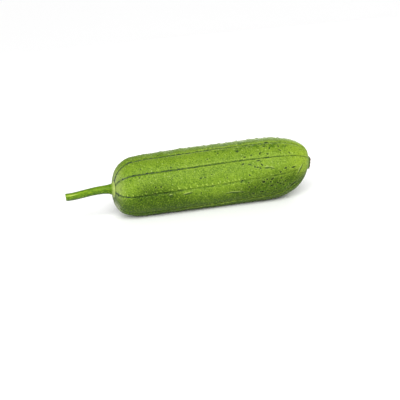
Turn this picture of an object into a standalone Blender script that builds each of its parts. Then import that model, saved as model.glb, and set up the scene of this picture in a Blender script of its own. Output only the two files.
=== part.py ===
"""Sponge gourd: one whole fruit lying on its side, with its cut stalk and the stub of its flower.

Metres, +Z up. +X runs along the fruit, from the stalk to the blossom end, and -Y is the side that
faces the viewer. The origin is on the surface that the fruit lies on, under the middle of the fruit.
Run it with: blender --background --python part.py
"""

import math
import random

import bmesh
import bpy

MM = 0.001

# Driving dimensions of the fruit
FRUIT_LENGTH = 228 * MM
FRUIT_RADIUS = 35.9 * MM  # at its fattest
FATTEST_AT = 140 * MM  # from the stalk end
SHOULDER_SLIMMING = 0.045  # share of the radius that the stalk end is slimmer by
SHOULDER_LENGTH = 40 * MM  # of the blunt rounding at the stalk end
SHOULDER_POWER = 3.1  # of its superellipse: 2 is an ellipse, more is blunter
TIP_LENGTH = 60 * MM  # of the rounding at the blossom end
TIP_POWER = 2.4
TIP_RISE = 1.2 * MM  # how far the axis bends up at the blossom end
TIP_RISE_LENGTH = 60 * MM
SIDE_BOW = 2.2 * MM  # how far both ends stand nearer to the viewer than the middle

# Both ends lean: the stalk end's lower shoulder and the blossom end's upper one stand further out.
# The stalk end is also turned a little towards the viewer, so that its far shoulder stands further out.
STALK_END_SLANT = 0.16  # run in X for each unit of height
STALK_END_TURN = 0.25  # run in X for each unit of Y
TIP_SLANT = 0.2
SLANT_LENGTH = 60 * MM  # from the end to where the lean has died away

# The flat that the fruit lies on
FLAT_SINK = 1.2 * MM  # how much of the round is pressed flat
AXIS_HEIGHT = FRUIT_RADIUS - FLAT_SINK

# Ten dark furrows run from end to end. Degrees round the axis, from the viewer's side (-Y) upwards.
FURROW_ANGLES = (36, 71, 105, 139, 175, 212, 250, 285, 313, 355)
FURROW_DEPTH = 0.8 * MM
FURROW_SPREAD = 0.95 * MM  # sideways from its bottom to where a third of the depth is left
LOBE_RISE = 0.55 * MM  # of the skin midway between two furrows

# Gentle lumps of the skin, where two crossed waves meet
LUMP_HEIGHT = 0.3 * MM
FIRST_WAVE_LENGTH = 34 * MM
FIRST_WAVE_TURNS = 3  # waves in one turn round the fruit
SECOND_WAVE_LENGTH = 52 * MM
SECOND_WAVE_TURNS = 2

# A row of low warts stands along each side of each furrow
WART_HEIGHT = 0.55 * MM
WART_SPREAD = 0.4  # share of the height that a wart may lack
WART_SEED = 7

# Mesh of the fruit. Columns are placed as shares of a lobe, from one furrow to the next.
LOBE_COLUMNS = (0.0, 0.07, 0.17, 0.5, 0.83, 0.93)
WART_COLUMNS = (2, 4)
STATION_COUNT = 84  # along the fruit, poles included
STATION_CROWDING = 0.3  # how much closer the stations stand at the two ends
PROFILE_SAMPLES = 4000

# Seats for the two pieces at the ends. Touching pieces keep a small gap.
JOINT_GAP = 0.3 * MM
STALK_SEAT_RADIUS = 9.0 * MM
STUB_SEAT_RADIUS = 9.6 * MM
HALVINGS = 50  # of the search for where a seat lies

# The stalk
STALK_LENGTH = 55.3 * MM
STALK_RADIUS = 4.75 * MM  # just past the collar
STALK_CUT_RADIUS = 4.15 * MM
COLLAR_RADIUS = 8.5 * MM
COLLAR_RUN = 3.2 * MM  # the flare shrinks to a third over this length
STALK_DROP = 4.5 * MM  # of the cut end below the line of the fruit's axis
STALK_DROP_DELAY = 1.4  # power that puts off the drop towards the cut end
STALK_LIFT_RUN = 30 * MM  # the stalk first follows the leaning seat, for about this far
STALK_SWING = 4.5 * MM  # of the cut end away from the viewer
STALK_RIDGES = 5
STALK_RIDGE_SHARE = 0.07  # of the radius
STALK_PROFILE_POINTS = 20
STALK_STATIONS = 22
STALK_CROWDING = 1.5  # power that draws the stations into the flare

# The stub that the flower leaves: a short neck with a hollowed scar, and five worn lobes on its rim
STUB_BASE_RADIUS = 9.3 * MM
STUB_NECK_RADIUS = 7.1 * MM
STUB_NECK_HEIGHT = 1.6 * MM
STUB_RIM_RADIUS = 6.6 * MM
STUB_HEIGHT = 3.0 * MM
RIM_DROP_OUTSIDE = 0.4 * MM
RIM_DROP_INSIDE = 0.25 * MM
SCAR_RADIUS = 5.2 * MM
SCAR_DEPTH = 1.1 * MM
SCAR_DIP = 0.1 * MM  # the scar is deepest in a ring near its edge
SCAR_DIP_RADIUS = 4.2 * MM
STYLE_RADIUS = 1.5 * MM  # the base of the style, a knob in the scar's middle
STYLE_HEIGHT = 0.8 * MM
STYLE_CROWN_RADIUS = 1.05 * MM
STYLE_CROWN_DROP = 0.12 * MM
STUB_LOBES = 5
STUB_LOBE_OUT = 0.55 * MM
STUB_LOBE_UP = 0.5 * MM
STUB_STEPS = 30
STUB_MERGE = 0.01 * MM

FRUIT_GREEN = (0.262, 0.407, 0.051, 1)
STALK_GREEN = (0.227, 0.381, 0.030, 1)
STUB_BROWN = (0.060, 0.066, 0.028, 1)


def clear_scene():
    for obj in list(bpy.data.objects):
        bpy.data.objects.remove(obj)


def make_material(name, colour, roughness):
    material = bpy.data.materials.new(name)
    material.use_nodes = True
    shader = material.node_tree.nodes["Principled BSDF"]
    shader.inputs["Base Color"].default_value = colour
    shader.inputs["Roughness"].default_value = roughness
    shader.inputs["Metallic"].default_value = 0
    return material


def add_part(name, data, material, parent, location):
    part = bpy.data.objects.new(name, data)
    part.data.materials.append(material)
    part.parent = parent
    part.location = location
    return part


def radius_at(x):
    """The fruit's radius at x from its stalk end: a slow swell between two superelliptic ends."""
    swell = 1.0
    if x < FATTEST_AT:
        swell -= SHOULDER_SLIMMING * (1 - x / FATTEST_AT) ** 2
    into_shoulder = max(0.0, 1 - x / SHOULDER_LENGTH)
    into_tip = max(0.0, (x - FRUIT_LENGTH + TIP_LENGTH) / TIP_LENGTH)
    shoulder = max(0.0, 1 - into_shoulder**SHOULDER_POWER) ** (1 / SHOULDER_POWER)
    tip = max(0.0, 1 - into_tip**TIP_POWER) ** (1 / TIP_POWER)
    return FRUIT_RADIUS * swell * shoulder * tip


def seat_position(seat_radius, from_x, to_x):
    """Where the radius reaches seat_radius, between a pole at from_x and full girth at to_x, by halving."""
    for _ in range(HALVINGS):
        middle = (from_x + to_x) / 2
        if radius_at(middle) < seat_radius:
            from_x = middle
        else:
            to_x = middle
    return to_x


STALK_SEAT_X = seat_position(STALK_SEAT_RADIUS, 0, SHOULDER_LENGTH)
STUB_SEAT_X = seat_position(STUB_SEAT_RADIUS, FRUIT_LENGTH, FRUIT_LENGTH - TIP_LENGTH)


def bow_at(x):
    """Sideways offset of the fruit's axis, in Y: none at the middle, towards the viewer at both ends."""
    return SIDE_BOW * (math.sin(math.pi * x / FRUIT_LENGTH) - 1)


def rise_at(x):
    """Upward offset of the fruit's axis, which bends up towards the blossom end."""
    return TIP_RISE * max(0.0, 1 - (STUB_SEAT_X - x) / TIP_RISE_LENGTH) ** 2


def fruit_stations():
    """(x, radius) of each ring from pole to pole, in steps of nearly equal length along the profile."""
    half_turn = math.pi / PROFILE_SAMPLES
    middle, reach = (STALK_SEAT_X + STUB_SEAT_X) / 2, (STUB_SEAT_X - STALK_SEAT_X) / 2
    xs = [middle - reach * math.cos(i * half_turn) for i in range(PROFILE_SAMPLES + 1)]
    radii = [radius_at(x) for x in xs]
    run = [0.0]
    for i in range(PROFILE_SAMPLES):
        run.append(run[-1] + math.hypot(xs[i + 1] - xs[i], radii[i + 1] - radii[i]))
    stations = [(STALK_SEAT_X, 0.0)]
    ring_count = STATION_COUNT - 2
    at = 0
    for ring in range(ring_count):
        share = ring / (ring_count - 1)
        share -= STATION_CROWDING * math.sin(2 * math.pi * share) / (2 * math.pi)
        while at < PROFILE_SAMPLES and run[at] < share * run[-1]:
            at += 1
        stations.append((xs[at], radii[at]))
    stations.append((STUB_SEAT_X, 0.0))
    return stations


def furrow_gap(lobe):
    """Degrees from a furrow to the next one."""
    following = FURROW_ANGLES[(lobe + 1) % len(FURROW_ANGLES)]
    return (following - FURROW_ANGLES[lobe]) % 360


def lobe_relief(lobe, share, radius):
    """Rise of a lobe less the furrow beside it, at a share of the way from one furrow to the next."""
    to_furrow = min(share, 1 - share) * math.radians(furrow_gap(lobe)) * radius
    furrow = FURROW_DEPTH * math.exp(-((to_furrow / FURROW_SPREAD) ** 2))
    return LOBE_RISE * math.sin(math.pi * share) - furrow


def lump_relief(x, angle):
    """Height of the gentle lumps: the product of two waves that cross each other."""
    first = math.sin(2 * math.pi * x / FIRST_WAVE_LENGTH + FIRST_WAVE_TURNS * angle)
    second = math.cos(2 * math.pi * x / SECOND_WAVE_LENGTH - SECOND_WAVE_TURNS * angle)
    return LUMP_HEIGHT * first * second


def wart_height(ring, column, dice):
    """Extra height of a mesh point that carries a wart, or 0. The two rows by a furrow are staggered."""
    if column not in WART_COLUMNS or (ring + WART_COLUMNS.index(column)) % 2:
        return 0.0
    return WART_HEIGHT * (1 - WART_SPREAD * dice.random())


def slant_at(x, side, height):
    """How far a leaning end moves a point along X. Each lean dies away over SLANT_LENGTH."""
    by_stalk = max(0.0, 1 - (x - STALK_SEAT_X) / SLANT_LENGTH) ** 2
    by_tip = max(0.0, 1 - (STUB_SEAT_X - x) / SLANT_LENGTH) ** 2
    stalk_end = (STALK_END_SLANT * height - STALK_END_TURN * side) * by_stalk
    return stalk_end + TIP_SLANT * height * by_tip


def fruit_point(x, radius, angle):
    """A point of the fruit, in the frame of its axis, with the underside pressed flat."""
    side = -radius * math.cos(angle)
    height = max(radius * math.sin(angle), -AXIS_HEIGHT)
    return (x + slant_at(x, side, height), bow_at(x) + side, rise_at(x) + height)


def make_fruit(material, parent):
    """A UV sphere whose rings are moved to the fruit's stations, and whose columns follow the furrows."""
    stations = fruit_stations()
    lobe_size = len(LOBE_COLUMNS)
    column_count = len(FURROW_ANGLES) * lobe_size
    ring_steps = STATION_COUNT - 1
    dice = random.Random(WART_SEED)
    mesh = bpy.data.meshes.new("fruit")
    shape = bmesh.new()
    bmesh.ops.create_uvsphere(shape, u_segments=column_count, v_segments=ring_steps, radius=1)
    for vertex in shape.verts:
        ring = round(math.acos(max(-1.0, min(1.0, vertex.co.z))) / math.pi * ring_steps)
        column = round(math.atan2(vertex.co.y, vertex.co.x) / (2 * math.pi) * column_count) % column_count
        x, radius = stations[ring]
        lobe, within = divmod(column, lobe_size)
        share = LOBE_COLUMNS[within]
        angle = math.radians(FURROW_ANGLES[lobe] + share * furrow_gap(lobe))
        relief = lobe_relief(lobe, share, radius) + lump_relief(x, angle) + wart_height(ring, within, dice)
        girth = radius / FRUIT_RADIUS  # the relief shrinks with the girth, and is gone at the seats
        on_seat = ring <= 1 or ring >= ring_steps - 1
        vertex.co = fruit_point(x, radius if on_seat else radius + relief * girth, angle)
    shape.to_mesh(mesh)
    shape.free()
    mesh.shade_smooth()
    return add_part("fruit", mesh, material, parent, (-FRUIT_LENGTH / 2, 0, AXIS_HEIGHT))


def stalk_point(run):
    """The stalk's centreline at a run from its seat: it leaves square to the seat, then droops and swings."""
    share = run / STALK_LENGTH
    square_run = run * math.exp(-run / STALK_LIFT_RUN)
    drop = STALK_DROP * (1 - math.cos(math.pi * share**STALK_DROP_DELAY)) / 2
    side = STALK_SWING * share**2 - STALK_END_TURN * square_run
    return (-run, side, STALK_END_SLANT * square_run - drop)


def stalk_radius(run):
    """Thin stem, slightly tapered, with a flare that grows out at the collar."""
    stem = STALK_RADIUS + (STALK_CUT_RADIUS - STALK_RADIUS) * run / STALK_LENGTH
    return stem + (COLLAR_RADIUS - STALK_RADIUS) * math.exp(-run / COLLAR_RUN)


def make_stalk_section():
    """The ridged outline of the stalk, as a closed curve of radius 1 mm, which the stalk carries along."""
    section = bpy.data.curves.new("stalk_section", "CURVE")
    section.dimensions = "2D"
    section.fill_mode = "NONE"
    spline = section.splines.new("POLY")
    spline.points.add(STALK_PROFILE_POINTS - 1)
    spline.use_cyclic_u = True
    for i, point in enumerate(spline.points):
        turn = -2 * math.pi * i / STALK_PROFILE_POINTS  # clockwise, so that the carried surface faces out
        radius = MM * (1 + STALK_RIDGE_SHARE * math.cos(STALK_RIDGES * turn))
        point.co = (radius * math.cos(turn), radius * math.sin(turn), 0, 1)
    guide = bpy.data.objects.new("stalk_section", section)
    guide.hide_render = True
    guide.display_type = "WIRE"
    return guide


def make_stalk(material, parent, section):
    """A curve that carries the ridged outline, with each point's radius from the taper and the flare."""
    curve = bpy.data.curves.new("stalk", "CURVE")
    curve.dimensions = "3D"
    curve.twist_mode = "Z_UP"
    curve.bevel_mode = "OBJECT"
    curve.bevel_object = section
    curve.use_fill_caps = True
    spline = curve.splines.new("POLY")
    spline.points.add(STALK_STATIONS - 1)
    for i, point in enumerate(spline.points):
        run = STALK_LENGTH * (i / (STALK_STATIONS - 1)) ** STALK_CROWDING
        point.co = (*stalk_point(run), 1)
        point.radius = stalk_radius(run) / MM
    seat = (STALK_SEAT_X - FRUIT_LENGTH / 2 - JOINT_GAP, bow_at(STALK_SEAT_X), AXIS_HEIGHT)
    return add_part("stalk", curve, material, parent, seat)


def stub_profile():
    """(radius, height) of the stub from the middle of its scar, over the rim and down the neck to its base."""
    floor = STUB_HEIGHT - SCAR_DEPTH
    return (
        (0, floor + STYLE_HEIGHT),
        (STYLE_CROWN_RADIUS, floor + STYLE_HEIGHT - STYLE_CROWN_DROP),
        (STYLE_RADIUS, floor),
        (SCAR_DIP_RADIUS, floor - SCAR_DIP),
        (SCAR_RADIUS, STUB_HEIGHT - RIM_DROP_INSIDE),
        ((SCAR_RADIUS + STUB_RIM_RADIUS) / 2, STUB_HEIGHT),
        (STUB_RIM_RADIUS, STUB_HEIGHT - RIM_DROP_OUTSIDE),
        (STUB_NECK_RADIUS, STUB_NECK_HEIGHT),
        (STUB_BASE_RADIUS, 0),
        (0, 0),
    )


def turn_profile(points):
    """The mesh that a Screw modifier makes of a profile in the XZ plane, turned about Z."""
    outline = bpy.data.meshes.new("stub_outline")
    vertices = [(radius, 0, height) for radius, height in points]
    outline.from_pydata(vertices, [(i, i + 1) for i in range(len(points) - 1)], [])
    turned = bpy.data.objects.new("stub_outline", outline)
    bpy.context.scene.collection.objects.link(turned)
    screw = turned.modifiers.new("turn", "SCREW")
    screw.steps = screw.render_steps = STUB_STEPS
    screw.use_merge_vertices = True
    screw.merge_threshold = STUB_MERGE
    screw.use_smooth_shade = True
    mesh = bpy.data.meshes.new_from_object(turned.evaluated_get(bpy.context.evaluated_depsgraph_get()))
    bpy.data.objects.remove(turned)
    return mesh


def draw_out_lobes(mesh):
    """Five waves round the stub's rim, which fade towards its base and leave the knob of the style alone."""
    for vertex in mesh.vertices:
        x, y, height = vertex.co
        radius = math.hypot(x, y)
        if radius < (STYLE_RADIUS + SCAR_DIP_RADIUS) / 2:
            continue
        wave = max(0.0, math.cos(STUB_LOBES * math.atan2(y, x))) * (height / STUB_HEIGHT) ** 2
        outwards = 1 + STUB_LOBE_OUT * wave / radius
        vertex.co = (x * outwards, y * outwards, height + STUB_LOBE_UP * wave)


def make_stub(material, parent):
    mesh = turn_profile(stub_profile())
    mesh.name = "blossom_stub"
    draw_out_lobes(mesh)
    seat = (STUB_SEAT_X - FRUIT_LENGTH / 2 + JOINT_GAP, bow_at(STUB_SEAT_X), AXIS_HEIGHT + TIP_RISE)
    stub = add_part("blossom_stub", mesh, material, parent, seat)
    stub.rotation_euler = (0, math.pi / 2 + math.atan(TIP_SLANT), 0)  # its own +Z points out of its seat
    return stub


def main():
    clear_scene()
    parts = bpy.data.collections.new("sponge_gourd")
    guides = bpy.data.collections.new("guides")
    bpy.context.scene.collection.children.link(parts)
    bpy.context.scene.collection.children.link(guides)
    rest = bpy.data.objects.new("gourd_rest", None)
    parts.objects.link(rest)
    section = make_stalk_section()
    guides.objects.link(section)
    parts.objects.link(make_fruit(make_material("gourd_skin", FRUIT_GREEN, 0.45), rest))
    parts.objects.link(make_stalk(make_material("stalk_rind", STALK_GREEN, 0.5), rest, section))
    parts.objects.link(make_stub(make_material("dry_flower", STUB_BROWN, 0.85), rest))


main()
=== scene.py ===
"""Looks of the sponge gourd: its furrowed, warty, mottled skin, its ridged stalk and its flower's dry stub.

Metres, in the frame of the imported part: +X runs from the stalk to the blossom end, -Y is the side that
faces the viewer, +Z is up, and the origin is on the floor under the middle of the fruit. Angles round the
fruit are degrees from -Y upwards. "Along" is a share of the skin's length, from the stalk on.
"""

import math

import bpy
import numpy as np
from mathutils import Matrix, Vector


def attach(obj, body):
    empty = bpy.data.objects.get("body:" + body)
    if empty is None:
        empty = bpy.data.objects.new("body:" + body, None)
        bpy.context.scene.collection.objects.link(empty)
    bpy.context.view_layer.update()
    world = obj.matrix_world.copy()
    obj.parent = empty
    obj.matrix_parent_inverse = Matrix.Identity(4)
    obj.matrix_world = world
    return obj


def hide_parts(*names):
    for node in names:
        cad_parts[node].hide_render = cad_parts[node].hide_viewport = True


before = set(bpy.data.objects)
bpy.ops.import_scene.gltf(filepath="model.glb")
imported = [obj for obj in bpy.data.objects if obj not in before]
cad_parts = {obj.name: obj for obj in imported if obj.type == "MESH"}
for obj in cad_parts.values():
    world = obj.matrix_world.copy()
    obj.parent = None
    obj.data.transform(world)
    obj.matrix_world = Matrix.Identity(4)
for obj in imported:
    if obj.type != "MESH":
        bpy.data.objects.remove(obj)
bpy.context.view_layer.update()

MM = 0.001

# Driving dimensions of the fruit, as in the solids
FRUIT_LENGTH = 228 * MM
FRUIT_RADIUS = 35.9 * MM
FATTEST_AT = 140 * MM
SHOULDER_SLIMMING = 0.045
SHOULDER_LENGTH = 40 * MM
SHOULDER_POWER = 3.1
TIP_LENGTH = 60 * MM
TIP_POWER = 2.4
TIP_RISE = 1.2 * MM
TIP_RISE_LENGTH = 60 * MM
SIDE_BOW = 2.2 * MM
STALK_END_SLANT = 0.16  # run in X for each unit of height
STALK_END_TURN = 0.25  # run in X for each unit of Y
TIP_SLANT = 0.2
SLANT_LENGTH = 60 * MM
AXIS_HEIGHT = 34.7 * MM
STALK_SEAT_RADIUS = 9.0 * MM
STUB_SEAT_RADIUS = 9.6 * MM
PROFILE_SAMPLES = 6000

# Relief of the skin
FURROW_DEPTH = 0.85 * MM
PALE_FURROW_DEPTH = 0.3  # as a share, where the furrow has no dark line
FURROW_SPREAD = 0.9 * MM
LOBE_RISE = 0.55 * MM
LUMP_HEIGHT = 0.3 * MM
FIRST_WAVE_LENGTH = 34 * MM
FIRST_WAVE_TURNS = 3
SECOND_WAVE_LENGTH = 52 * MM
SECOND_WAVE_TURNS = 2
DIMPLE_HEIGHT = 0.16 * MM
DIMPLE_PITCH = 7 * MM
DIMPLES_ROUND = 32
SMOOTH_END = 5 * MM  # beside the stalk and beside the stub, where the relief fades in

# The ten furrows, from the underside round: their angle at the stalk end and at the blossom end, how far
# the middle strays from the line between, how dark the line in the furrow is at the stalk end and at the
# blossom end (1 paints its middle fully, and more makes it broader), and how broken it is (0 is whole)
FURROWS = (
    (-75, -76, 0, 0.8, 0.7, 0.5),
    (-52, -37, -4.5, 1.2, 2.4, 0.5),
    (-6.5, 3.5, -1.8, 1.2, 0.22, 0.6),
    (37, 37.5, -1.5, 1.2, 0.85, 0.2),
    (70, 71, 1.2, 2.3, 0.8, 0.25),
    (106, 103, 0, 0.8, 0.6, 0.5),
    (139, 136, 2, 1.0, 0.7, 0.3),
    (175, 179, -2, 0.8, 0.5, 0.7),
    (212, 209, 0, 1.0, 0.8, 0.2),
    (250, 251, 0, 0.7, 0.6, 0.5),
)
FURROW_WAVER = 0.7  # degrees
FURROW_WAVER_PITCH = 38 * MM
INK_PITCH = 4.2 * MM  # of the short breaks in a furrow's line
SLOW_INK_PITCH = 7 * INK_PITCH  # of its paler and darker stretches
MOST_INK = 1.1
LINE_TAPER = 0.5  # a furrow's line is narrower by this share at the blossom end
LINE_FLARE = 0.5  # and distances from it count this much less beside the stalk, so that it is broader there
LINE_FLARE_RUN = 16 * MM

# Pale dust along one furrow, near the stalk
DUSTY_FURROW = 3
DUST_RUN = 21.5 * MM
DUST_LENGTH = 4 * MM
DUST_WIDTH = 1.5 * MM

# The dark ring round the collar is darkest on the viewer's side: partly the furrows' lines meeting there,
# and partly painted shade where the collar meets the skin
RING_ANGLE = 20
RING_SPREAD = 48

# A pale grey arc on the stalk end's lower side
GREY_ARC_ANGLE = -66
GREY_ARC_SPREAD = 40
GREY_ARC_RUN = 12 * MM
GREY_ARC_LENGTH = 12 * MM

# Painted shade in deep green over the underside: it starts this far above the fruit's mid height and is full
# this much further down, in radii. It reaches higher along one stretch by each end, and a little less high
# along the middle
PAINTED_SHADE_TOP = 0.10
PAINTED_SHADE_FADE = 0.68
BLOSSOM_STRETCH_STARTS = (0.55, 0.80)
BLOSSOM_STRETCH_ENDS = (0.96, 0.88)
BLOSSOM_STRETCH_RISE = 0.30
STALK_STRETCH_STARTS = (0.10, 0.20)
STALK_STRETCH_ENDS = (0.42, 0.27)
STALK_STRETCH_RISE = 0.44
MIDDLE_STRETCH_AT = 0.52
MIDDLE_STRETCH_SPREAD = 0.11
MIDDLE_STRETCH_DROP = 0.16

# A slightly deeper band along the crown, and behind it along the crest a pale band of painted highlight
CROWN_ANGLE = 82
CROWN_SPREAD = 9
CROWN_ENDS = (0.9, 0.8)
CROWN_DEPTH = 0.3
CREST_ANGLE = 99
CREST_SPREAD = 7
CREST_STARTS = (0.0, 0.55)
CREST_ENDS = (0.9, 0.75)

# Rows of warts beside the furrows
REGULAR_ROW = 4  # the row above the furrow on the viewer's side: larger warts, one in every pitch
REGULAR_ROW_PITCH = 6.4 * MM
REGULAR_WART_SCALE = 1.1
REGULAR_ROW_FADES = 165 * MM  # along the skin, towards the blossom end
REGULAR_ROW_FADE_LENGTH = 25 * MM
REGULAR_ROW_LOSS = 0.75
WART_ROW_PITCH = 4.3 * MM
WART_ROW_OFFSET = 2.7 * MM
WART_ROW_JITTER = 0.5 * MM
WART_LENGTH = 1.5 * MM  # from its middle to where a third is left, round the fruit
WART_WIDTH = 0.6 * MM
WART_LEAN = 118  # degrees from the fruit's length: nearly square to it
WART_LEAN_SPREAD = 16
WART_HEIGHT = 0.9 * MM
LOW_ROWS = 1 / 3  # along this share of the skin the rows grow from half their height to all of it

# Small warts strewn between the rows
STREWN_PITCH = 4.6 * MM
STREWN_ROUND = 50
STREWN_LENGTH = 1.25 * MM
STREWN_WIDTH = 0.5 * MM
STREWN_LEAN_SPREAD = 0.35  # radians
STREWN_SHARE = 0.7  # of the cells that hold one
STREWN_HEIGHT = 0.6  # of the height of the warts in the rows
STREWN_ROOM = 3.6 * MM  # from a furrow, where they are at full height

# Low bumps that stand out along the top, between the blossom end and the middle
CREST_BUMP_HEIGHT = 0.9 * MM
LOW_BUMP_SHARE = 0.55  # of that height, at the stalk end
TALL_BUMPS_FROM = 0.65

# Pits and creases
PIT_DEPTH = 0.6 * MM
PIT_PITCH = 7.5 * MM
PITS_ROUND = 30
PIT_LENGTH = 1.15 * MM
PIT_WIDTH = 0.65 * MM
PIT_LEAN = 0.8  # radians
PIT_LEAN_SPREAD = 0.5  # radians
PITTED_CELLS = 0.05  # the share of cells that hold a pit, by the stalk
MORE_PITTED_CELLS = 0.3  # and how many more by the blossom end
BLOSSOM_HALF = (0.5, 0.8)
LISTED_PITS_ANGLE = 0.3  # radians: the middle of the side where pits are listed instead
FEWER_AMONG_LISTED = 0.6
CREASE_STEP = 0.4 * MM  # height of the ridge above a crease
CREASE_CUT = 0.8  # depth of the crease below it, as a share of that
CREASE_APART = 0.65 * MM  # the ridge and the dark line lie this far to each side of it

# Mesh of the skin
COLUMNS_PER_LOBE = 30
COLUMN_CROWDING = 0.25
RING_COUNT = 322

# Seeds of the random draws
WAVER_SEED = 100
INK_SEED = 200
SLOW_INK_SEED = 300
WART_ROW_SEED = 31
STREWN_SEED = 41
PIT_SEED = 43
DIMPLE_SEED = 51
FIBRE_SEED = 61
STALK_WAVE_SEED = 62
RAGGED_SEED = 71
FRINGE_SEED = 72


def smooth_step(share):
    """3 share^2 - 2 share^3, which starts and ends level."""
    return share * share * (3 - 2 * share)


def slope(value, start, end):
    """0 at `start` and before it, 1 at `end` and past it, straight between. `end` may be the lower one."""
    return np.clip((value - start) / (end - start), 0, 1)


def ramp(value, start, end):
    """Like slope, with a smooth step between."""
    return smooth_step(slope(value, start, end))


def hill(distance, spread):
    """exp(-(distance/spread)^2)"""
    return np.exp(-((distance / spread) ** 2))


def degrees_from(degrees, middle):
    """Degrees round the fruit from an angle, -180 to 180."""
    return (degrees - middle + 180) % 360 - 180


def radius_at(x):
    """Radius of the fruit at x from its stalk end: a slow swell between two superelliptic ends."""
    swell = 1 - SHOULDER_SLIMMING * np.maximum(0, 1 - x / FATTEST_AT) ** 2
    into_shoulder = np.clip(1 - x / SHOULDER_LENGTH, 0, 1)
    into_tip = np.clip((x - FRUIT_LENGTH + TIP_LENGTH) / TIP_LENGTH, 0, 1)
    shoulder = (1 - into_shoulder**SHOULDER_POWER) ** (1 / SHOULDER_POWER)
    tip = (1 - into_tip**TIP_POWER) ** (1 / TIP_POWER)
    return FRUIT_RADIUS * swell * shoulder * tip


FINE_X = FRUIT_LENGTH * (1 - np.cos(np.linspace(0, np.pi, PROFILE_SAMPLES))) / 2
FINE_RADIUS = radius_at(FINE_X)
FINE_HALF = PROFILE_SAMPLES // 2
STALK_SEAT_X = np.interp(STALK_SEAT_RADIUS, FINE_RADIUS[:FINE_HALF], FINE_X[:FINE_HALF])
STUB_SEAT_X = np.interp(STUB_SEAT_RADIUS, FINE_RADIUS[:FINE_HALF:-1], FINE_X[:FINE_HALF:-1])
FINE_STEP = np.hypot(np.diff(FINE_X), np.diff(FINE_RADIUS))
FINE_RUN = np.concatenate([[0], np.cumsum(FINE_STEP)])  # metres along the skin, from the stalk end


def run_at(x):
    """Metres along the skin from the stalk end, at x along the axis."""
    return np.interp(x, FINE_X, FINE_RUN)


def bow_at(x):
    """Sideways offset of the axis: none at the middle, towards the viewer at both ends."""
    return SIDE_BOW * (np.sin(np.pi * x / FRUIT_LENGTH) - 1)


def rise_at(x):
    """Upward offset of the axis, which bends up towards the blossom end."""
    return TIP_RISE * np.maximum(0, 1 - (STUB_SEAT_X - x) / TIP_RISE_LENGTH) ** 2


def slant_at(x, side, height):
    """How far a leaning end moves a point along X."""
    by_stalk = np.maximum(0, 1 - (x - STALK_SEAT_X) / SLANT_LENGTH) ** 2
    by_tip = np.maximum(0, 1 - (STUB_SEAT_X - x) / SLANT_LENGTH) ** 2
    return (STALK_END_SLANT * height - STALK_END_TURN * side) * by_stalk + TIP_SLANT * height * by_tip


def skin_points(x, radius, angle):
    """Points of the fruit at a radius and an angle round its axis, with the underside pressed flat."""
    side = -radius * np.cos(angle)
    height = np.maximum(radius * np.sin(angle), -AXIS_HEIGHT)
    along = x + slant_at(x, side, height) - FRUIT_LENGTH / 2
    return np.stack([along, bow_at(x) + side, rise_at(x) + height + AXIS_HEIGHT], axis=-1)


def line_noise(along, pitch, seed):
    """Smooth noise of -1 to 1 on a line: seeded random values a pitch apart, joined by smooth steps."""
    at = np.asarray(along) / pitch
    cell = np.floor(at).astype(int)
    first = cell.min()
    values = np.random.default_rng(seed).uniform(-1, 1, cell.max() - first + 2)
    blend = smooth_step(at - cell)
    return values[cell - first] * (1 - blend) + values[cell - first + 1] * blend


def skin_noise(run, turn, pitch, cells_round, seed):
    """Smooth noise of -1 to 1 on an unrolled skin, from seeded values on a lattice that closes round it."""
    at = run / pitch
    row = np.floor(at).astype(int)
    over = turn * cells_round
    column = np.floor(over).astype(int)
    values = np.random.default_rng(seed).uniform(-1, 1, (row.max() + 2, cells_round))
    row_blend = smooth_step(at - row)
    column_blend = smooth_step(over - column)
    here = column % cells_round
    beyond = (column + 1) % cells_round
    low = values[row, here] * (1 - column_blend) + values[row, beyond] * column_blend
    high = values[row + 1, here] * (1 - column_blend) + values[row + 1, beyond] * column_blend
    return low * (1 - row_blend) + high * row_blend


def bell(along, across, length, width, lean=0.0):
    """A mark that fades as exp(-(along/length)^2 - (across/width)^2), turned by its lean in radians."""
    turned_along = along * np.cos(lean) + across * np.sin(lean)
    turned_across = across * np.cos(lean) - along * np.sin(lean)
    return np.exp(-((turned_along / length) ** 2) - (turned_across / width) ** 2)


def furrow_tracks(x):
    """Angle of each furrow at x, shape (rings, furrows + 1): a straight drift, a bend and a small waver.

    The bend and the waver grow as the sine of the way along and as its root, so both ends stay put. The
    last track is the first one a whole turn on.
    """
    share = x / FRUIT_LENGTH
    middle = np.sin(np.pi * share)
    tracks = []
    for number, (start, end, stray, *_) in enumerate(FURROWS):
        waver = line_noise(x, FURROW_WAVER_PITCH, WAVER_SEED + number) * FURROW_WAVER
        tracks.append(start + (end - start) * share + stray * middle + waver * np.sqrt(middle))
    tracks.append(tracks[0] + 360)
    return np.stack(tracks, axis=1)


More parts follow.
